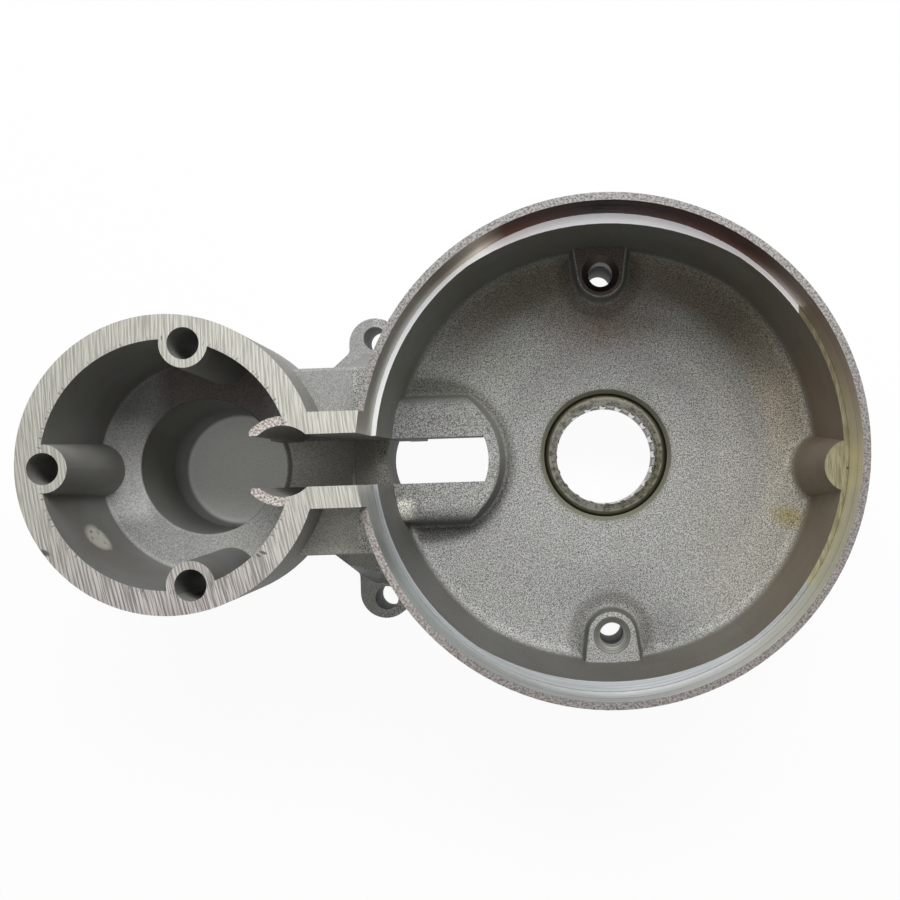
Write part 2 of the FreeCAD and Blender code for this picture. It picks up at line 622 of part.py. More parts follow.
def make_bearing_cup():
    """Drawn steel cup: a thin shell with both ends turned in over the cage."""
    lip = SHAFT_DIAMETER / 2 + LIP_CLEARANCE
    inner_corner = CUP_CORNER_RADIUS - CUP_THICKNESS
    return turned([
        (lip, BEARING_BOTTOM, 0),
        (BEARING_RADIUS, BEARING_BOTTOM, CUP_CORNER_RADIUS),
        (BEARING_RADIUS, BEARING_TOP, CUP_CORNER_RADIUS),
        (lip, BEARING_TOP, 0),
        (lip, BEARING_TOP - CUP_THICKNESS, 0),
        (RACEWAY_RADIUS, BEARING_TOP - CUP_THICKNESS, inner_corner),
        (RACEWAY_RADIUS, BEARING_BOTTOM + CUP_THICKNESS, inner_corner),
        (lip, BEARING_BOTTOM + CUP_THICKNESS, 0),
    ])


def make_cage():
    """Sheet-steel cage: a thin ring with one pocket for each needle."""
    low = BEARING_BOTTOM + CUP_THICKNESS + CAGE_END_GAP
    high = BEARING_TOP - CUP_THICKNESS - CAGE_END_GAP
    inner = NEEDLE_CIRCLE_RADIUS - CAGE_THICKNESS / 2
    outer = NEEDLE_CIRCLE_RADIUS + CAGE_THICKNESS / 2
    ring = cylinder(outer, low, high).cut(cylinder(inner, low - 1.0, high + 1.0))
    half_width = NEEDLE_RADIUS + POCKET_GAP
    half_length = NEEDLE_LENGTH / 2 + POCKET_GAP
    pockets = []
    for index in range(NEEDLE_COUNT):
        pocket = block(inner - 1.0, outer + 1.0, -half_width, half_width,
                       BEARING_MIDDLE - half_length, BEARING_MIDDLE + half_length)
        pocket.rotate(vec(0, 0), vec(0, 0, 1), index * 360.0 / NEEDLE_COUNT)
        pockets.append(pocket)
    return ring.cut(pockets)


def make_needle(index):
    half = NEEDLE_LENGTH / 2
    angle = math.radians(index * 360.0 / NEEDLE_COUNT)
    return turned([
        (0, BEARING_MIDDLE - half, 0),
        (NEEDLE_RADIUS - NEEDLE_END_CHAMFER, BEARING_MIDDLE - half, 0),
        (NEEDLE_RADIUS, BEARING_MIDDLE - half + NEEDLE_END_CHAMFER, 0),
        (NEEDLE_RADIUS, BEARING_MIDDLE + half - NEEDLE_END_CHAMFER, 0),
        (NEEDLE_RADIUS - NEEDLE_END_CHAMFER, BEARING_MIDDLE + half, 0),
        (0, BEARING_MIDDLE + half, 0),
    ], NEEDLE_CIRCLE_RADIUS * math.cos(angle), NEEDLE_CIRCLE_RADIUS * math.sin(angle))


parts = {
    "housing": make_housing(),
    "bearing_cup": make_bearing_cup(),
    "bearing_cage": make_cage(),
}
for index in range(NEEDLE_COUNT):
    parts["needle_roller_%02d" % (index + 1)] = make_needle(index)

os.makedirs("parts", exist_ok=True)
for name, shape in parts.items():
    shape.exportStep("parts/" + name + ".step")
    box = shape.BoundBox
    print(name, "solids", len(shape.Solids), "valid", shape.isValid(), "volume", round(shape.Volume, 1),
          "box", [round(value, 2) for value in (box.XMin, box.XMax, box.YMin, box.YMax, box.ZMin, box.ZMax)])
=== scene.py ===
import bpy
import json
import math
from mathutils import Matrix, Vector


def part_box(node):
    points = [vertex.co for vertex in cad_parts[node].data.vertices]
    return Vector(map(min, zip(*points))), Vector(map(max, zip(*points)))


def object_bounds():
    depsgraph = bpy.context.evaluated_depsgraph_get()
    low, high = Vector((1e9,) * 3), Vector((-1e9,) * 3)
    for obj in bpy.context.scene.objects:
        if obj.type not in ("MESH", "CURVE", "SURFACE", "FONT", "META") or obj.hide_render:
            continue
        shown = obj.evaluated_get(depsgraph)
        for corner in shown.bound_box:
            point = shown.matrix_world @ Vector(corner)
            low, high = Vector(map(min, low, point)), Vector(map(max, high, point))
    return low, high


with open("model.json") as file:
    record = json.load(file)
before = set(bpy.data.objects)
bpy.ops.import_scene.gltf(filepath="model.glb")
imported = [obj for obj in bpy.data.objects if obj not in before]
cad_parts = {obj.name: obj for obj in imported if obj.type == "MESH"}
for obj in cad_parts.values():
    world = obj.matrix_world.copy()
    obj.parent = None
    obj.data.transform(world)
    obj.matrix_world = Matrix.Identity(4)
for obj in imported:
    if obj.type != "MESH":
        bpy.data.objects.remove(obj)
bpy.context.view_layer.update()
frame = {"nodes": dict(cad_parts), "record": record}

# ---- Casting. One pressure die casting in aluminium carries both cups, the bridge and the ears.
# ---- Its skin is as it left the die and the tumbler, a fine grey grain. The solenoid face and the
# ---- arms are fly-cut, the motor register and its shoulder are turned, and both show bare metal.
MM = 1000.0  # millimetres in a metre; places and sizes on the pieces are in millimetres


def start_finish(name):
    """A new finish with an empty node tree."""
    made = bpy.data.materials.new(name)
    made.use_nodes = True
    made.node_tree.nodes.clear()
    return made


def add(kind, **settings):
    """A new node in the finish at hand."""
    made = finish.node_tree.nodes.new(kind)
    for key, value in settings.items():
        setattr(made, key, value)
    return made


def feed(given, socket):
    """Sets a socket to a number or a colour, or links another node's socket to it."""
    if isinstance(given, (int, float)):
        socket.default_value = given
    elif isinstance(given, tuple):
        socket.default_value = given if len(given) == len(socket.default_value) else given + (1.0,)
    else:
        finish.node_tree.links.new(given, socket)


def calc(operation, *given):
    """One step of arithmetic."""
    made = add("ShaderNodeMath", operation=operation)
    for value, socket in zip(given, made.inputs):
        feed(value, socket)
    return made.outputs[0]


def place_of(x, y, z=0.0):
    """A place from its three parts."""
    made = add("ShaderNodeCombineXYZ")
    for given, socket in zip((x, y, z), made.inputs):
        feed(given, socket)
    return made.outputs[0]


def length_of(x, y):
    """How far a place lies from the origin, seen from above."""
    made = add("ShaderNodeVectorMath", operation="LENGTH")
    feed(place_of(x, y), made.inputs[0])
    return made.outputs["Value"]


def in_millimetres():
    """The place on the piece in millimetres, as a vector and as x, y, z."""
    scaled = add("ShaderNodeVectorMath", operation="SCALE")
    feed(add("ShaderNodeTexCoord").outputs["Object"], scaled.inputs[0])
    feed(MM, scaled.inputs["Scale"])
    parts = add("ShaderNodeSeparateXYZ")
    feed(scaled.outputs[0], parts.inputs[0])
    return (scaled.outputs[0],) + tuple(parts.outputs)


def facing_up():
    """The upward share of the surface's own direction, 1 on a level face."""
    parts = add("ShaderNodeSeparateXYZ")
    feed(add("ShaderNodeNewGeometry").outputs["Normal"], parts.inputs[0])
    return parts.outputs[2]


cast = finish = start_finish("cast_aluminium")
mounts = {mount["name"]: mount for mount in frame["record"]["mounts"]}
spot_place, x, y, z = in_millimetres()
up = facing_up()

# A place is known by its distance and angle round the bearing's axis and round the solenoid cup's,
# which lies the radius of the screw circle in from the outer screw.
SCREW_CIRCLE = 23.6
solenoid_x = mounts["solenoid_screw_outer"]["pos_m"][0] * MM + SCREW_CIRCLE
radius = length_of(x, y)
angle = calc("ARCTAN2", y, x)
from_solenoid = calc("SUBTRACT", x, solenoid_x)
solenoid_radius = length_of(from_solenoid, y)
solenoid_angle = calc("ARCTAN2", y, from_solenoid)


def over(value, limit):
    """1 where the value is over the limit."""
    return calc("GREATER_THAN", value, limit)


def under(value, limit):
    """1 where the value is under the limit."""
    return calc("LESS_THAN", value, limit)


def times(first, *others):
    """A product; of masks, the part that lies in all of them."""
    for other in others:
        first = calc("MULTIPLY", first, other)
    return first


def either(first, *others):
    """The greatest of several masks."""
    for other in others:
        first = calc("MAXIMUM", first, other)
    return first


def ease(value, low, high, at_low=0.0, at_high=1.0):
    """A smooth step from at_low to at_high while the value goes from low to high."""
    made = add("ShaderNodeMapRange", interpolation_type="SMOOTHSTEP")
    for given, socket in zip((value, low, high, at_low, at_high), made.inputs):
        feed(given, socket)
    return made.outputs["Result"]


def fade(value, low, high):
    """A smooth step from 1 down to 0."""
    return ease(value, low, high, 1.0, 0.0)


def near(value, middle, reach, soft=0.0):
    """1 where the value lies within reach of the middle, fading over soft."""
    away = calc("ABSOLUTE", calc("SUBTRACT", value, middle))
    return fade(away, reach, reach + soft) if soft else under(away, reach)


# Level faces that a cutter or the parting left, each at its own height.
LEVEL = 0.99
LEVEL_REACH = 0.1
LIP_DROP = 0.7
CUP_RIM_HEIGHT = 55.4
BOSS_TOP_HEIGHT = 22.1
PILLAR_SIDE = 40.0
face_height = mounts["solenoid_face"]["pos_m"][2] * MM
shoulder_height = mounts["yoke_shoulder"]["pos_m"][2] * MM


def level_at(height):
    """1 on a level face at one height."""
    return times(over(up, LEVEL), near(z, height, LEVEL_REACH))


fly_cut = level_at(face_height)
lip_top = level_at(face_height - LIP_DROP)
rim_top = level_at(CUP_RIM_HEIGHT)
shoulder = level_at(shoulder_height)
pillar_top = times(shoulder, over(x, PILLAR_SIDE))
boss_top = level_at(BOSS_TOP_HEIGHT)

# The turned register stands on the shoulder, and a countersink opens each through-bolt hole.
REGISTER_REACH = 0.14
THROUGH_BOLT_CIRCLE = 40.5
COUNTERSINK_RADIUS = 4.15
COUNTERSINK_FOOT = 16.0
STEEP = 0.5
register_radius = mounts["yoke_register"]["dims"]["r_mm"]
register_wall = times(near(radius, register_radius, REGISTER_REACH), over(z, shoulder_height - 0.05),
                      under(up, STEEP))
off_centre = calc("ABSOLUTE", y)
bolt_radius = length_of(x, calc("SUBTRACT", off_centre, THROUGH_BOLT_CIRCLE))
countersink = times(under(bolt_radius, COUNTERSINK_RADIUS), over(z, COUNTERSINK_FOOT))

# As-cast floors: the motor cup's, the ring in the solenoid cup, the plunger well's and the slot's.
INNER_RADIUS = 24.6
PLUNGER_WELL_RADIUS = 14.5
RING_HEIGHT = 32.6
SLOT_HALF_WIDTH = 5.2
SLOT_HEIGHT = 19.3
SLOT_MIDDLE = -61.0
SLOT_HALF_LENGTH = 13.0
FLOOR_REACH = 0.5
GENTLE = 0.3
MOTOR_CUP_FOOT = 10.0
MOTOR_FLOOR_LIMIT = 21.0
WELL_FLOOR_LIMIT = 16.0
within_register = under(radius, register_radius + 0.1)
in_motor_cup = times(within_register, over(z, MOTOR_CUP_FOOT))
motor_floor = times(in_motor_cup, ease(up, 0.6, 0.9), under(z, MOTOR_FLOOR_LIMIT))
ring = times(near(z, RING_HEIGHT, FLOOR_REACH), under(solenoid_radius, INNER_RADIUS), over(up, GENTLE))
well_floor = times(under(solenoid_radius, PLUNGER_WELL_RADIUS), under(z, WELL_FLOOR_LIMIT), over(up, GENTLE))
slot_floor = times(near(y, 0.0, SLOT_HALF_WIDTH), near(z, SLOT_HEIGHT, FLOOR_REACH),
                   near(x, SLOT_MIDDLE, SLOT_HALF_LENGTH))


def mottle(place, scale, detail=2.0, roughness=0.5):
    """Noise between 0 and 1 with about so many lumps to the millimetre."""
    made = add("ShaderNodeTexNoise")
    for given, name in ((place, "Vector"), (scale, "Scale"), (detail, "Detail"), (roughness, "Roughness")):
        feed(given, made.inputs[name])
    return made.outputs["Fac"]


def tint(amount, first, second, blend_type="MIX"):
    """The first colour, with so much of the second over it."""
    made = add("ShaderNodeMix", data_type="RGBA", blend_type=blend_type)
    feed(amount, made.inputs["Factor"])
    feed(first, made.inputs[6])
    feed(second, made.inputs[7])
    return made.outputs[2]


def stain(amount, first, second):
    """The first colour, with so much of the second multiplied into it."""
    return tint(amount, first, second, "MULTIPLY")


def round_the_axis(stops):
    """Colours set at angles from 180 to 540 degrees round the bearing, blended between."""
    ramp = add("ShaderNodeValToRGB")
    feed(calc("DIVIDE", calc("ADD", angle, math.pi), 2 * math.pi), ramp.inputs[0])
    marks = ramp.color_ramp.elements
    while len(marks) < len(stops):
        marks.new(0.5)
    for mark, (degrees, colour) in zip(marks, stops):
        mark.position = (degrees - 180) / 360.0
        mark.color = colour + (1.0,)
    return ramp.outputs[0]


# The skin: a salt and pepper grain on faces that look up, fainter on the solenoid's side.
SKIN_DARK, SKIN_LIGHT = (0.070, 0.070, 0.066), (0.575, 0.575, 0.56)
SKIN_MEAN = (0.28, 0.28, 0.272)
FAINTER_SIDE = -52.0
fine = mottle(spot_place, 5.2, 2.0, 0.75)
coarse = mottle(spot_place, 2.4, 2.0, 0.65)
cloud = mottle(spot_place, 0.07, 3.0)
patch = mottle(spot_place, 0.16)
grain = calc("ADD", times(fine, 0.74), times(coarse, 0.26))
depth = ease(grain, 0.40, 0.60)
pale = tint(depth, SKIN_DARK, SKIN_LIGHT)
pale = tint(times(under(x, FAINTER_SIDE), 0.62), pale, SKIN_MEAN)

# Walls along which the die drew are smoother and darker, and carry painted light and shade.
WALL_METAL, SHADED_WALL_METAL = (0.26, 0.26, 0.245), (0.168, 0.168, 0.162)
# Round the motor cup the wall's colour carries painted light and shade by angle, with brown tints.
MOTOR_WALL_PAINTED_SHADING = (
    (180, (0.21, 0.21, 0.20)), (202, (0.092, 0.093, 0.086)), (215, (0.125, 0.122, 0.112)),
    (250, (0.096, 0.096, 0.090)), (290, (0.115, 0.110, 0.092)), (305, (0.150, 0.145, 0.130)),
    (322, (0.200, 0.185, 0.158)), (337, (0.232, 0.210, 0.178)), (372, (0.30, 0.255, 0.215)),
    (400, (0.190, 0.190, 0.178)), (420, (0.150, 0.148, 0.130)), (436, (0.128, 0.130, 0.118)),
    (480, (0.162, 0.165, 0.145)), (500, (0.225, 0.232, 0.210)),
)
SOLENOID_WALL_RADIUS = 25.0
GRAIN_OUTSIDE, GRAIN_LOST_INSIDE = 0.45, 0.33
in_solenoid_cup = under(solenoid_radius, SOLENOID_WALL_RADIUS)
inside_cups = either(within_register, in_solenoid_cup)
wall_grain = calc("SUBTRACT", GRAIN_OUTSIDE, times(inside_cups, GRAIN_LOST_INSIDE))
grainy = ease(up, 0.35, 0.9, wall_grain)
# The solenoid cup's wall has painted shade toward its near side.
drawn = tint(times(fade(y, -16.0, -4.0), in_solenoid_cup), WALL_METAL, SHADED_WALL_METAL)
drawn = tint(in_motor_cup, drawn, round_the_axis(MOTOR_WALL_PAINTED_SHADING))
skin = tint(grainy, drawn, pale)

# Brown handling marks in clouds, warmer toward the pillar, and a greener patch here and there.
# The clouds and the warmth are strongest on steep walls.
clouded = times(ease(up, 0.3, 0.8, 1.0, 0.25), ease(cloud, 0.35, 0.65), 0.6)
warmed = times(ease(x, 5.0, 45.0), ease(up, 0.3, 0.8, 1.0, 0.35))
skin = stain(clouded, skin, (0.80, 0.75, 0.69))
skin = stain(warmed, skin, (1.0, 0.91, 0.80))
skin = stain(times(ease(patch, 0.45, 0.7), 0.5), skin, (0.93, 0.97, 0.90))

# The motor cup's floor: a painted shadow of the far wall, tinted olive, and painted light and shade by angle
# round the bearing elsewhere.
NEAR_FLOOR_PAINTED_SHADING = (
    (180, (1.0, 1.0, 1.0)), (240, (0.95, 0.95, 0.96)), (270, (0.78, 0.78, 0.79)),
    (300, (0.97, 0.97, 0.97)), (330, (1.05, 1.05, 1.04)), (360, (1.2, 1.2, 1.2)),
    (390, (1.31, 1.31, 1.30)), (420, (1.42, 1.43, 1.40)), (440, (1.05, 0.92, 0.86)),
    (450, (0.90, 0.74, 0.68)), (460, (1.05, 0.95, 0.90)), (480, (1.34, 1.34, 1.30)),
    (510, (1.29, 1.30, 1.26)),
)
FAR_FLOOR_PAINTED_SHADING = (
    (180, (1.0, 1.0, 1.0)), (262, (1.0, 1.0, 1.0)), (288, (0.72, 0.72, 0.73)),
    (300, (1.0, 1.0, 1.0)), (335, (1.33, 1.32, 1.26)), (378, (1.80, 1.68, 1.50)),
    (404, (0.66, 0.60, 0.47)), (425, (0.64, 0.54, 0.47)), (475, (0.64, 0.58, 0.45)),
    (495, (1.0, 0.94, 0.88)), (510, (1.26, 1.27, 1.24)),
)
floor_painted_shading = tint(ease(radius, 34.0, 40.0), round_the_axis(NEAR_FLOOR_PAINTED_SHADING), round_the_axis(FAR_FLOOR_PAINTED_SHADING))
skin = stain(times(motor_floor, ease(radius, 22.0, 29.0)), skin, floor_painted_shading)

# Painted shade round the foot of the window's pad, darker toward the near side, and round the bolt bosses.
PAD_ARC_X = 39.5
PAD_CORNER_RADIUS = 16.7
BOSS_CORNER_RADIUS = 7.9
BOSS_CORNER_LIMIT = 20.5
pad_radius = length_of(either(calc("ADD", x, PAD_ARC_X), 0.0), y)
pad_painted_shade = times(motor_floor, near(pad_radius, PAD_CORNER_RADIUS, 0.8, 2.5))
skin = stain(pad_painted_shade, skin, tint(ease(y, -12.0, 6.0), (0.31, 0.31, 0.30), (0.46, 0.46, 0.44)))
boss_radius = length_of(x, either(calc("SUBTRACT", THROUGH_BOLT_CIRCLE, off_centre), 0.0))
boss_painted_shade = times(motor_floor, near(boss_radius, BOSS_CORNER_RADIUS, 0.5, 2.2), under(z, BOSS_CORNER_LIMIT))
skin = stain(boss_painted_shade, skin, (0.62, 0.61, 0.59))

# The motor cup's rim and the slot's two lips have a coarse, rubbed skin with brown specks, and the
# far bolt boss is brown on top.
rim_spread = mottle(spot_place, 2.2, 3.0, 0.75)
rim_skin = tint(ease(rim_spread, 0.36, 0.62), (0.15, 0.138, 0.130), (0.47, 0.455, 0.44))
rim_skin = tint(ease(y, -10.0, 45.0), stain(1.0, rim_skin, (0.80, 0.76, 0.75)), rim_skin)
rubbed_side = times(ease(x, -48.0, -25.0, 0.85, 0.0), fade(y, -15.0, 5.0))
skin = tint(rim_top, skin, stain(rubbed_side, rim_skin, (1.5, 1.5, 1.5)))
lip_speck = ease(mottle(spot_place, 2.4, 3.0, 0.8), 0.42, 0.56)
skin = tint(lip_top, skin, tint(lip_speck, (0.22, 0.16, 0.14), (0.72, 0.69, 0.65)))
# The far bolt boss's top is brown and darkened with painted shade.
skin = stain(times(boss_top, ease(y, -5.0, 5.0)), skin, (0.30, 0.235, 0.205))

# The plunger well's floor is painted pale as light, with a painted highlight round the edge of its flat and
# painted shade in its round corner.
WELL_MIDDLE = (1.4, -0.5)
WELL_FLAT_RADIUS = 11.9
WELL_CORNER_RADIUS = 12.0
well_radius = length_of(calc("SUBTRACT", from_solenoid, WELL_MIDDLE[0]), calc("SUBTRACT", y, WELL_MIDDLE[1]))
well_painted_light = tint(depth, (0.86, 0.86, 0.81), (1.0, 1.0, 0.97))
well_painted_light = tint(near(well_radius, WELL_FLAT_RADIUS, 0.2, 0.6), well_painted_light, (1.0, 1.0, 0.97))
well_corner_shade = ease(well_radius, WELL_CORNER_RADIUS, WELL_CORNER_RADIUS + 1.0)
well_painted_light = tint(well_corner_shade, well_painted_light, (0.30, 0.30, 0.29))
skin = tint(well_floor, skin, well_painted_light)

# The ring round the well: painted light toward the bridge and at the outer pillar, and brownish painted
# shadow at the far side.
ring_painted_light = times(ring, fade(y, -22.0, -4.0), near(solenoid_radius, 18.5, 6.0))
skin = stain(times(ring_painted_light, ease(x, -92.0, -78.0)), skin, (1.5, 1.5, 1.48))
skin = stain(times(ring, ease(y, 2.0, 14.0), near(x, -84.0, 9.0, 5.0)), skin, (0.52, 0.46, 0.42))
skin = stain(times(ring, near(x, -103.5, 3.5, 3.5), near(y, 0.0, 8.0, 5.0)), skin, (1.9, 1.9, 1.92))

# The bridge's low shelf has painted light that lifts it out of the arm's shadow. The slot's floor has
# painted light near the well and painted shade toward the window, with a dark line at the well's mouth and
# one scratch across it.
SHELF_INSIDE = 27.0
SHELF_MIDDLE, SHELF_HALF_LENGTH = -60.0, 15.0
SHELF_LIMIT = 50.0
on_bridge = times(over(solenoid_radius, SHELF_INSIDE), near(x, SHELF_MIDDLE, SHELF_HALF_LENGTH, 3.0))
shelf = times(on_bridge, fade(y, -9.5, -8.0), under(z, SHELF_LIMIT), ease(up, 0.5, 0.8),
              ease(y, -24.0, -18.0, 0.45, 1.0))
skin = stain(shelf, skin, (2.5, 2.45, 2.3))
skin = stain(slot_floor, skin, tint(ease(x, -71.0, -54.0), (2.1, 2.05, 1.95), (0.78, 0.76, 0.68)))
skin = stain(times(slot_floor, near(solenoid_radius, 14.75, 0.25, 0.4)), skin, (0.36, 0.35, 0.34))
scratch = times(slot_floor, near(x, -57.0, 0.12, 0.3), fade(y, -4.8, -1.0))
skin = tint(scratch, skin, (0.42, 0.42, 0.40))


def spot(at, reach, soft, squash=1.0, lean=0.0):
    """An oval mark at one place, leaning by so many degrees."""
    turn = math.radians(lean)
    dx = calc("SUBTRACT", x, at[0])
    dy = calc("SUBTRACT", y, at[1])
    along = calc("ADD", times(dx, math.cos(turn)), times(dy, math.sin(turn)))
    across = calc("SUBTRACT", times(dy, math.cos(turn)), times(dx, math.sin(turn)))
    return fade(length_of(along, times(across, squash)), reach, reach + soft)


# Fly-cut lines: arcs of one wide cutter, three quarters of a millimetre apart and uneven.
CUTTER_MIDDLE = (120.0, 24.0)
CUTTER_FEED = 0.74
CUT_LOW, CUT_HIGH = (0.27, 0.265, 0.235), (0.42, 0.413, 0.375)
WORN_LOW, WORN_HIGH = (0.185, 0.166, 0.158), (0.44, 0.415, 0.40)
cutter_x = calc("SUBTRACT", CUTTER_MIDDLE[0], x)
cutter_y = calc("SUBTRACT", CUTTER_MIDDLE[1], y)
sweep = length_of(cutter_x, cutter_y)
turn_along = times(calc("ARCTAN2", cutter_y, cutter_x), 15.0)
lines = mottle(place_of(times(sweep, 1.9), turn_along), 1.0, 2.0, 0.6)
thread = mottle(place_of(times(sweep, 4.2), times(turn_along, 2.5), 4.0), 1.0, 1.0)
feed_marks = calc("SINE", calc("ADD", times(sweep, 2 * math.pi / CUTTER_FEED), times(lines, 7.0)))
cut_depth = calc("ADD", calc("ADD", times(lines, 0.42), times(thread, 0.58)), times(feed_marks, 0.075))
worn_side = fade(y, -28.0, -6.0)
cut_metal = tint(ease(cut_depth, 0.38, 0.62), tint(worn_side, CUT_LOW, WORN_LOW),
                 tint(worn_side, CUT_HIGH, WORN_HIGH))

# Open pores, two nicks by the bridge, a chip and a dot farther out, and torn ticks along the edge
# of the cup.
TICK_RADIUS = 24.4
CUP_EDGE_RADIUS = 24.5
pores = times(fade(mottle(spot_place, 0.55, 4.0, 0.7), 0.24, 0.30), 0.75)
nicks = either(spot((-67.8, -17.4), 0.16, 0.22, 0.35, 70.0), spot((-68.7, -17.9), 0.12, 0.2, 0.4, 55.0),
               spot((-109.6, -16.1), 0.3, 0.4, 0.5, 60.0), spot((-100.5, 9.5), 0.08, 0.14))
torn = ease(mottle(place_of(times(solenoid_angle, CUP_EDGE_RADIUS, 1.5), 0.0), 1.0, 2.0, 0.7), 0.52, 0.64)
edge_ticks = times(near(solenoid_radius, TICK_RADIUS, 0.25, 0.35), torn, 0.8)
cut_metal = tint(either(pores, nicks, edge_ticks), cut_metal, (0.10, 0.095, 0.085))

# Turned register: fine rings, brown with oil and painted shade on the far side, and bright with a painted
# reflection on the near one.
REGISTER_OIL_AND_PAINTED_LIGHT = (
    (180, (0.34, 0.33, 0.29)), (213, (0.66, 0.72, 0.71)), (245, (0.66, 0.68, 0.67)),
    (272, (0.88, 0.90, 0.90)), (303, (1.0, 1.0, 0.98)), (330, (0.86, 0.87, 0.72)),
    (357, (1.0, 0.93, 0.70)), (384, (0.50, 0.39, 0.33)), (402, (0.30, 0.22, 0.19)),
    (420, (0.22, 0.15, 0.135)), (452, (0.165, 0.15, 0.155)), (474, (0.26, 0.17, 0.145)),
    (481, (1.0, 0.93, 0.85)), (492, (0.42, 0.385, 0.32)), (512, (0.34, 0.32, 0.27)),
)
TOOL_MARK_HEIGHT = 50.8
rings = mottle(place_of(times(radius, 3.0), times(angle, 1.5), times(z, 3.5)), 1.0, 2.0, 0.6)
register_oil_and_painted_light = round_the_axis(REGISTER_OIL_AND_PAINTED_LIGHT)
wall_metal = stain(ease(rings, 0.35, 0.65), register_oil_and_painted_light, (0.80, 0.79, 0.76))
foot_groove = near(z, shoulder_height + 0.12, 0.10, 0.08)
tool_mark = times(near(z, TOOL_MARK_HEIGHT, 0.10, 0.12), 0.55)
wall_metal = tint(either(foot_groove, tool_mark), wall_metal, (0.07, 0.065, 0.06))

# Turned shoulder, with a painted reflection that brightens its far side, and the pillar's top with its
# straight brush marks.
far_side = ease(y, -10.0, 10.0)
shoulder_metal = tint(ease(rings, 0.35, 0.68), tint(far_side, (0.217, 0.225, 0.232), (0.95, 0.97, 1.0)),
                      tint(far_side, (0.29, 0.30, 0.31), (1.0, 1.0, 1.0)))
brush = mottle(place_of(times(x, 2.4), times(y, 0.22)), 1.0, 3.0, 0.6)
pillar_metal = tint(ease(brush, 0.35, 0.65), (0.17, 0.155, 0.098), (0.30, 0.28, 0.19))
pillar_metal = tint(spot((49.0, -4.8), 0.12, 0.2), pillar_metal, (0.03, 0.03, 0.03))
shoulder_metal = tint(pillar_top, shoulder_metal, pillar_metal)

# Countersinks: cutter rings, the far one full of old oil.
sink_rings = mottle(place_of(times(bolt_radius, 3.5), 0.0, times(z, 3.0)), 1.0)
sink_metal = tint(ease(sink_rings, 0.35, 0.65), (0.20, 0.20, 0.18), (0.50, 0.50, 0.47))
sink_metal = tint(ease(y, -5.0, 5.0), sink_metal, (0.085, 0.068, 0.060))

# A shiny ground scar halfway up the solenoid cup's wall.
SCAR_ANGLE, SCAR_HEIGHT, SCAR_RADIUS = math.radians(-143.5), 46.6, 23.6
ARC_RADIUS = 24.0
scar_along = calc("SUBTRACT", times(solenoid_angle, ARC_RADIUS), SCAR_ANGLE * ARC_RADIUS)
scar_rise = times(calc("SUBTRACT", z, SCAR_HEIGHT), 0.75)
scar_shape = fade(calc("ADD", length_of(scar_along, scar_rise), times(patch, 1.2)), 2.5, 4.4)
scar = times(scar_shape, near(solenoid_radius, SCAR_RADIUS, 0.7), ease(mottle(spot_place, 0.9), 0.30, 0.44))

# Oil that has crept out of the bearing, darkest at its seat, and a yellow drip mark by the pillar.
MOTOR_FLOOR_HEIGHT = 18.3
bearing_radius = (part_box("bearing_cup")[1][0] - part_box("bearing_cup")[0][0]) * MM / 2
halo_edge = calc("ADD", radius, times(mottle(spot_place, 0.35), 2.2))
oil = times(fade(halo_edge, bearing_radius + 1.0, bearing_radius + 3.2), near(z, MOTOR_FLOOR_HEIGHT, 1.2))
seat = times(fade(radius, bearing_radius + 0.5, bearing_radius + 1.0), near(z, MOTOR_FLOOR_HEIGHT - 0.5, 1.0))
drip = times(spot((40.8, -15.4), 0.6, 3.0, 0.6, 70.0), near(z, 20.5, 3.5), 0.75)

# All of it laid over the skin, bare metal first and oil last.
colour = tint(fly_cut, skin, cut_metal)
colour = tint(register_wall, colour, wall_metal)
colour = tint(shoulder, colour, shoulder_metal)
colour = tint(countersink, colour, sink_metal)
colour = tint(scar, colour, (0.98, 0.95, 0.84))
colour = stain(times(oil, 0.8), colour, (0.62, 0.62, 0.46))
colour = tint(seat, colour, (0.17, 0.17, 0.125))
colour = stain(drip, colour, (0.80, 0.70, 0.30))

# Relief and shine: bare metal is smooth and metallic, the cast skin is rough and dull. The relief's
# depth is in metres.
RELIEF_STRENGTH, RELIEF_DEPTH = 0.75, 0.00016
SKIN_METALLIC, BARE_METALLIC = 0.14, 0.9
SKIN_ROUGHNESS, BARE_ROUGHNESS = 0.66, 0.40
bare = either(fly_cut, register_wall, shoulder, countersink, scar)
grain_relief = times(grain, times(grainy, calc("SUBTRACT", 1.0, bare)))
line_relief = calc("ADD", times(cut_depth, fly_cut, 0.5), times(rings, either(register_wall, shoulder), 0.12))
rough_relief = times(rim_spread, either(rim_top, lip_top), 0.8)
relief = add("ShaderNodeBump")
feed(RELIEF_STRENGTH, relief.inputs["Strength"])
feed(RELIEF_DEPTH, relief.inputs["Distance"])
feed(calc("ADD", calc("ADD", grain_relief, line_relief), rough_relief), relief.inputs["Height"])
sheen = calc("ADD", ease(bare, 0.0, 1.0, SKIN_ROUGHNESS, BARE_ROUGHNESS), times(shoulder, far_side, 0.06))
oily_wall = times(register_wall, ease(y, 30.0, 40.0))
metal = add("ShaderNodeBsdfPrincipled")
feed(colour, metal.inputs["Base Color"])
feed(tint(oily_wall, (1.0, 1.0, 1.0), register_oil_and_painted_light), metal.inputs["Specular Tint"])
feed(ease(bare, 0.0, 1.0, SKIN_METALLIC, BARE_METALLIC), metal.inputs["Metallic"])
feed(calc("ADD", sheen, times(calc("SUBTRACT", fine, 0.5), 0.15)), metal.inputs["Roughness"])
feed(relief.outputs[0], metal.inputs["Normal"])
feed(metal.outputs[0], add("ShaderNodeOutputMaterial").inputs["Surface"])
frame["nodes"]["housing"].material_slots[0].material = cast

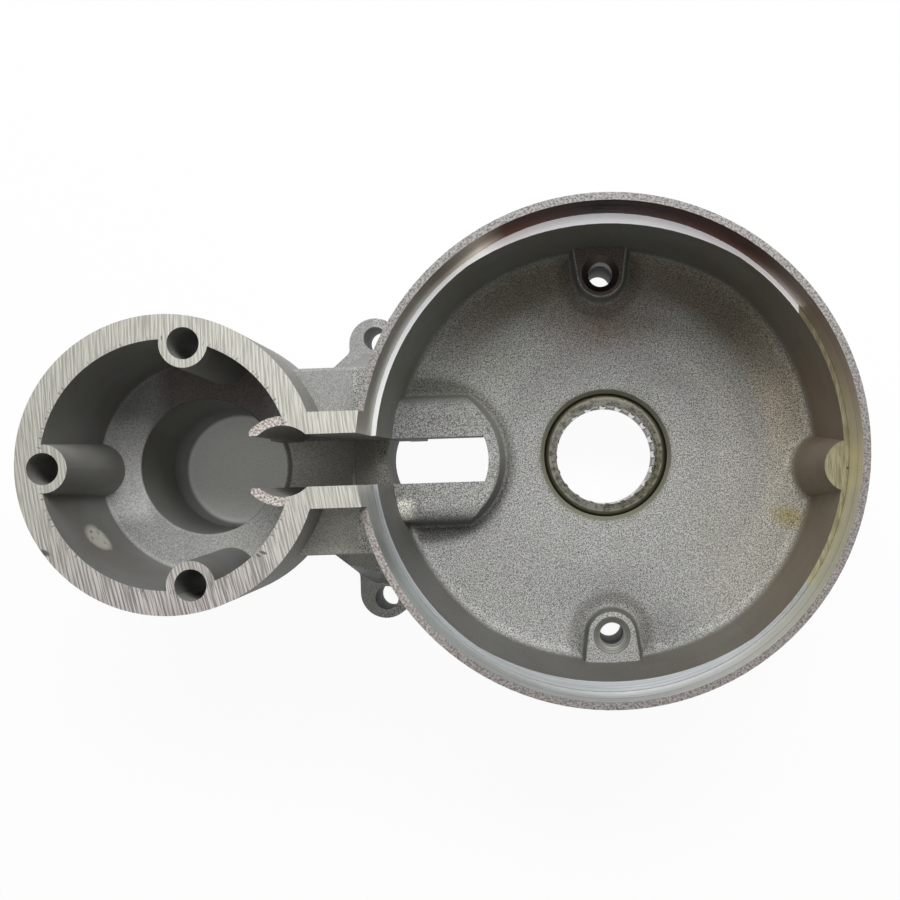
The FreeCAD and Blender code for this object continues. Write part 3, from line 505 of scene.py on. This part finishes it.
# ---- Bearing cup. Drawn from sheet steel, hardened and pressed into the hub, with both ends
# ---- turned in. Oil stands black in its rolled corner, and the flat of its lip is left bare.
LIP_METAL_DARK, LIP_METAL_LIGHT = (0.028, 0.027, 0.019), (0.150, 0.148, 0.128)
NICK_ANGLE, NICK_RADIUS = math.radians(23.1), 12.4
steel = finish = start_finish("bearing_steel")
cup_place, x, y, z = in_millimetres()
radius = length_of(x, y)
angle = calc("ARCTAN2", y, x)
blotch = mottle(cup_place, 0.8, 3.0, 0.65)
speck = mottle(cup_place, 2.6, 2.0, 0.6)
lip_wear = ease(calc("ADD", times(blotch, 0.6), times(speck, 0.4)), 0.38, 0.62)
lip_metal = tint(lip_wear, LIP_METAL_DARK, LIP_METAL_LIGHT)
ring_lines = mottle(place_of(times(radius, 4.0), times(angle, 2.0)), 1.0)
lip_metal = tint(ease(ring_lines, 0.4, 0.7, 0.0, 0.4), lip_metal, (0.16, 0.155, 0.14))
oily_side = times(ease(x, -3.0, 11.0), ease(y, -4.0, 8.0, 1.0, 0.25), 0.75)
lip_metal = stain(oily_side, lip_metal, (0.60, 0.58, 0.36))
lip_nick = times(near(times(angle, NICK_RADIUS), NICK_ANGLE * NICK_RADIUS, 0.10, 0.10), over(radius, 11.9))
lip_metal = tint(lip_nick, lip_metal, (0.03, 0.03, 0.02))

# Outside the flat comes the oily rolled corner with a thin light line, below it the bright raceway.
LIP_LINE = 1.3
RACEWAY_DROP = 1.5
cup_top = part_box("bearing_cup")[1][2] * MM
lip_flat = fade(radius, bearing_radius - 1.6, bearing_radius - 1.0)
shell_metal = tint(lip_flat, (0.060, 0.056, 0.036), lip_metal)
light_line = times(near(radius, bearing_radius - LIP_LINE, 0.06, 0.22), ease(blotch, 0.35, 0.6, 0.15, 0.8))
shell_metal = tint(light_line, shell_metal, (0.17, 0.165, 0.145))
shell_metal = tint(under(z, cup_top - RACEWAY_DROP), shell_metal, (0.42, 0.40, 0.40))
wear = add("ShaderNodeBump")
feed(0.5, wear.inputs["Strength"])
feed(0.00008, wear.inputs["Distance"])
feed(speck, wear.inputs["Height"])
shell = add("ShaderNodeBsdfPrincipled")
feed(shell_metal, shell.inputs["Base Color"])
feed(0.9, shell.inputs["Metallic"])
feed(ease(blotch, 0.3, 0.7, 0.28, 0.5), shell.inputs["Roughness"])
feed(wear.outputs[0], shell.inputs["Normal"])
feed(shell.outputs[0], add("ShaderNodeOutputMaterial").inputs["Surface"])
frame["nodes"]["bearing_cup"].material_slots[0].material = steel

# ---- Cage. A thin sheet-steel ring with a pocket for each needle, pressed to shape.
# ---- It is dull and brown with old grease.
CAGE_DARK, CAGE_LIGHT = (0.16, 0.145, 0.135), (0.46, 0.43, 0.42)
pressed = finish = start_finish("cage_steel")
grease = ease(mottle(in_millimetres()[0], 1.2, 3.0, 0.6), 0.35, 0.65)
sheet_metal = add("ShaderNodeBsdfPrincipled")
feed(tint(grease, CAGE_DARK, CAGE_LIGHT), sheet_metal.inputs["Base Color"])
feed(0.85, sheet_metal.inputs["Metallic"])
feed(0.45, sheet_metal.inputs["Roughness"])
feed(sheet_metal.outputs[0], add("ShaderNodeOutputMaterial").inputs["Surface"])
frame["nodes"]["bearing_cage"].material_slots[0].material = pressed

# ---- Needles. Twenty ground and hardened rollers, bright where the shaft has run and under a
# ---- film of oil. They sit loose in the cage's pockets.
NEEDLE_DARK, NEEDLE_LIGHT = (0.26, 0.24, 0.23), (0.52, 0.49, 0.48)
ground = finish = start_finish("needle_steel")
x, y, z = in_millimetres()[1:]
film = ease(mottle(place_of(times(x, 0.9), times(y, 0.9), times(z, 0.15)), 1.0), 0.35, 0.65)
roller = add("ShaderNodeBsdfPrincipled")
feed(tint(film, NEEDLE_DARK, NEEDLE_LIGHT), roller.inputs["Base Color"])
feed(1.0, roller.inputs["Metallic"])
feed(0.24, roller.inputs["Roughness"])
feed(roller.outputs[0], add("ShaderNodeOutputMaterial").inputs["Surface"])
for name, piece in frame["nodes"].items():
    if name.startswith("needle_roller"):
        piece.material_slots[0].material = ground

# ---- Floor. A plain pale sheet of paper, half a millimetre under the spigot's end. It stays near
# ---- white through the holes and still takes a faint shadow. From here on places are in metres.
FLOOR_SIZE = 3.0
FLOOR_GAP = 0.0005
PLAIN_WHITE = (1.0, 1.0, 1.0)
low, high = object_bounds()
middle = [(near_end + far_end) / 2 for near_end, far_end in zip(low, high)]
bpy.ops.mesh.primitive_plane_add(size=FLOOR_SIZE, location=(middle[0], middle[1], low[2] - FLOOR_GAP))
floor = bpy.context.object
floor.name = "floor"


def seen_or_mirrored():
    """1 for what the camera sees straight, in a mirror or through glass."""
    path = add("ShaderNodeLightPath")
    return either(*(path.outputs[ray] for ray in ("Is Camera Ray", "Is Glossy Ray", "Is Transmission Ray")))


paper = finish = start_finish("paper")
sheet = add("ShaderNodeBsdfDiffuse")
feed((0.90, 0.90, 0.90), sheet.inputs["Color"])
glow = add("ShaderNodeEmission")
feed(PLAIN_WHITE, glow.inputs["Color"])
join = add("ShaderNodeMixShader")
feed(times(seen_or_mirrored(), 0.95), join.inputs[0])
feed(sheet.outputs[0], join.inputs[1])
feed(glow.outputs[0], join.inputs[2])
feed(join.outputs[0], add("ShaderNodeOutputMaterial").inputs["Surface"])
floor.data.materials.append(paper)

# ---- Light. One long soft box stands beyond the motor cup's far side, well up, with a weak
# ---- one above. The room itself gives little light, but bare metal mirrors it as white.
AIM_HEIGHT = 0.03


def soft_box(name, place, width, depth, power):
    """A soft box, aimed at the middle of the part."""
    light = bpy.data.lights.new(name, "AREA")
    light.shape = "RECTANGLE"
    light.size = width
    light.size_y = depth
    light.energy = power
    lamp = bpy.data.objects.new(name, light)
    lamp.location = place
    aim = Vector((middle[0], middle[1], AIM_HEIGHT))
    lamp.rotation_euler = (aim - Vector(place)).to_track_quat("-Z", "Y").to_euler()
    bpy.context.scene.collection.objects.link(lamp)


soft_box("long_box", (0.07, 0.56, 0.71), 0.90, 0.36, 9.5)
soft_box("top_box", (-0.10, 0.10, 0.95), 0.30, 0.30, 0.6)

world = finish = bpy.data.worlds.new("studio")
bpy.context.scene.world = world
world.use_nodes = True
world.node_tree.nodes.clear()
dim = add("ShaderNodeBackground")
feed((0.93, 0.96, 1.0), dim.inputs["Color"])
feed(0.07, dim.inputs["Strength"])
white = add("ShaderNodeBackground")
feed(PLAIN_WHITE, white.inputs["Color"])
feed(1.0, white.inputs["Strength"])
choose = add("ShaderNodeMixShader")
feed(seen_or_mirrored(), choose.inputs[0])
feed(dim.outputs[0], choose.inputs[1])
feed(white.outputs[0], choose.inputs[2])
feed(choose.outputs[0], add("ShaderNodeOutputWorld").inputs["Surface"])
bpy.context.scene.view_settings.view_transform = "Standard"

# ---- Camera. Straight above the part, close to the bearing's axis, and turned a little. Its frame
# ---- is shifted toward the solenoid cup, so that it holds the whole part.
lens = bpy.data.cameras.new("camera")
lens.sensor_width = 36.0
lens.lens = 49.4
lens.shift_x = -0.1265
lens.shift_y = 0.0331
camera = bpy.data.objects.new("camera", lens)
camera.location = (-0.00967, -0.00533, 0.2983)
camera.rotation_euler = (0.0, 0.0, -0.0327)
bpy.context.scene.collection.objects.link(camera)
bpy.context.scene.camera = camera
